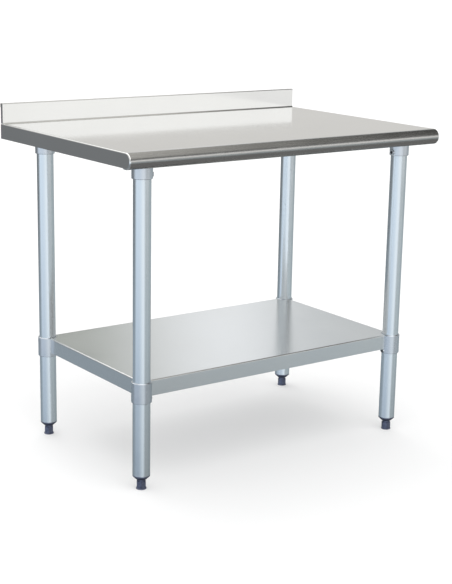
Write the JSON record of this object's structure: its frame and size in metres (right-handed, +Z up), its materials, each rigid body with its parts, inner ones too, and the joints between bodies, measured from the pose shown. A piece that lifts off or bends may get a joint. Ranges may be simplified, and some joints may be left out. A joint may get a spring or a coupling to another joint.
{
  "type": "stainless work table",
  "caption": "Commercial kitchen work table: flat stainless top with rolled front edge and low backsplash, tubular legs with levelling feet, and a height-adjustable undershelf.",
  "frame": {"origin": "on the floor under the middle of the table, with the levelling feet screwed fully in", "axes": "+X to the right along the worktop's length, -Y towards the rolled front edge, +Z up"},
  "size_m": [0.914, 0.61, 0.85],
  "materials": {
    "stainless": "brushed stainless sheet",
    "galvanised": "galvanised",
    "foot_metal": "zinc plated, satin",
    "screw_steel": "blackened steel"
  },
  "bodies": {
    "table_frame": {"worktop_sheet": "stainless", "backsplash_end_left": "stainless", "backsplash_end_right": "stainless", "side_channel_left": "galvanised", "side_channel_right": "galvanised", "long_channel": "galvanised", "leg_socket_front_left": "galvanised", "socket_screw_front_left": "screw_steel", "leg_front_left": "galvanised", "leg_insert_front_left": "foot_metal", "leg_socket_front_right": "galvanised", "socket_screw_front_right": "screw_steel", "leg_front_right": "galvanised", "leg_insert_front_right": "foot_metal", "leg_socket_rear_left": "galvanised", "socket_screw_rear_left": "screw_steel", "leg_rear_left": "galvanised", "leg_insert_rear_left": "foot_metal", "leg_socket_rear_right": "galvanised", "socket_screw_rear_right": "screw_steel", "leg_rear_right": "galvanised", "leg_insert_rear_right": "foot_metal"},
    "undershelf": {"undershelf_sheet": "stainless", "shelf_channel": "galvanised", "shelf_sleeve_front_left": "galvanised", "sleeve_screw_front_left": "screw_steel", "shelf_sleeve_front_right": "galvanised", "sleeve_screw_front_right": "screw_steel", "shelf_sleeve_rear_left": "galvanised", "sleeve_screw_rear_left": "screw_steel", "shelf_sleeve_rear_right": "galvanised", "sleeve_screw_rear_right": "screw_steel"},
    "foot_front_left": {"levelling_foot_front_left": "foot_metal"},
    "foot_front_right": {"levelling_foot_front_right": "foot_metal"},
    "foot_rear_left": {"levelling_foot_rear_left": "foot_metal"},
    "foot_rear_right": {"levelling_foot_rear_right": "foot_metal"}
  },
  "joints": [
    {"name": "shelf_height", "type": "slide", "parent": "table_frame", "child": "undershelf", "axis": [0, 0, 1], "range_m": [-0.15, 0.35]},
    {"name": "foot_travel_front_left", "type": "slide", "parent": "table_frame", "child": "foot_front_left", "axis": [0, 0, -1], "range_m": [0, 0.025]},
    {"name": "foot_travel_front_right", "type": "slide", "parent": "table_frame", "child": "foot_front_right", "axis": [0, 0, -1], "range_m": [0, 0.025]},
    {"name": "foot_travel_rear_left", "type": "slide", "parent": "table_frame", "child": "foot_rear_left", "axis": [0, 0, -1], "range_m": [0, 0.025]},
    {"name": "foot_travel_rear_right", "type": "slide", "parent": "table_frame", "child": "foot_rear_right", "axis": [0, 0, -1], "range_m": [0, 0.025]}
  ]
}
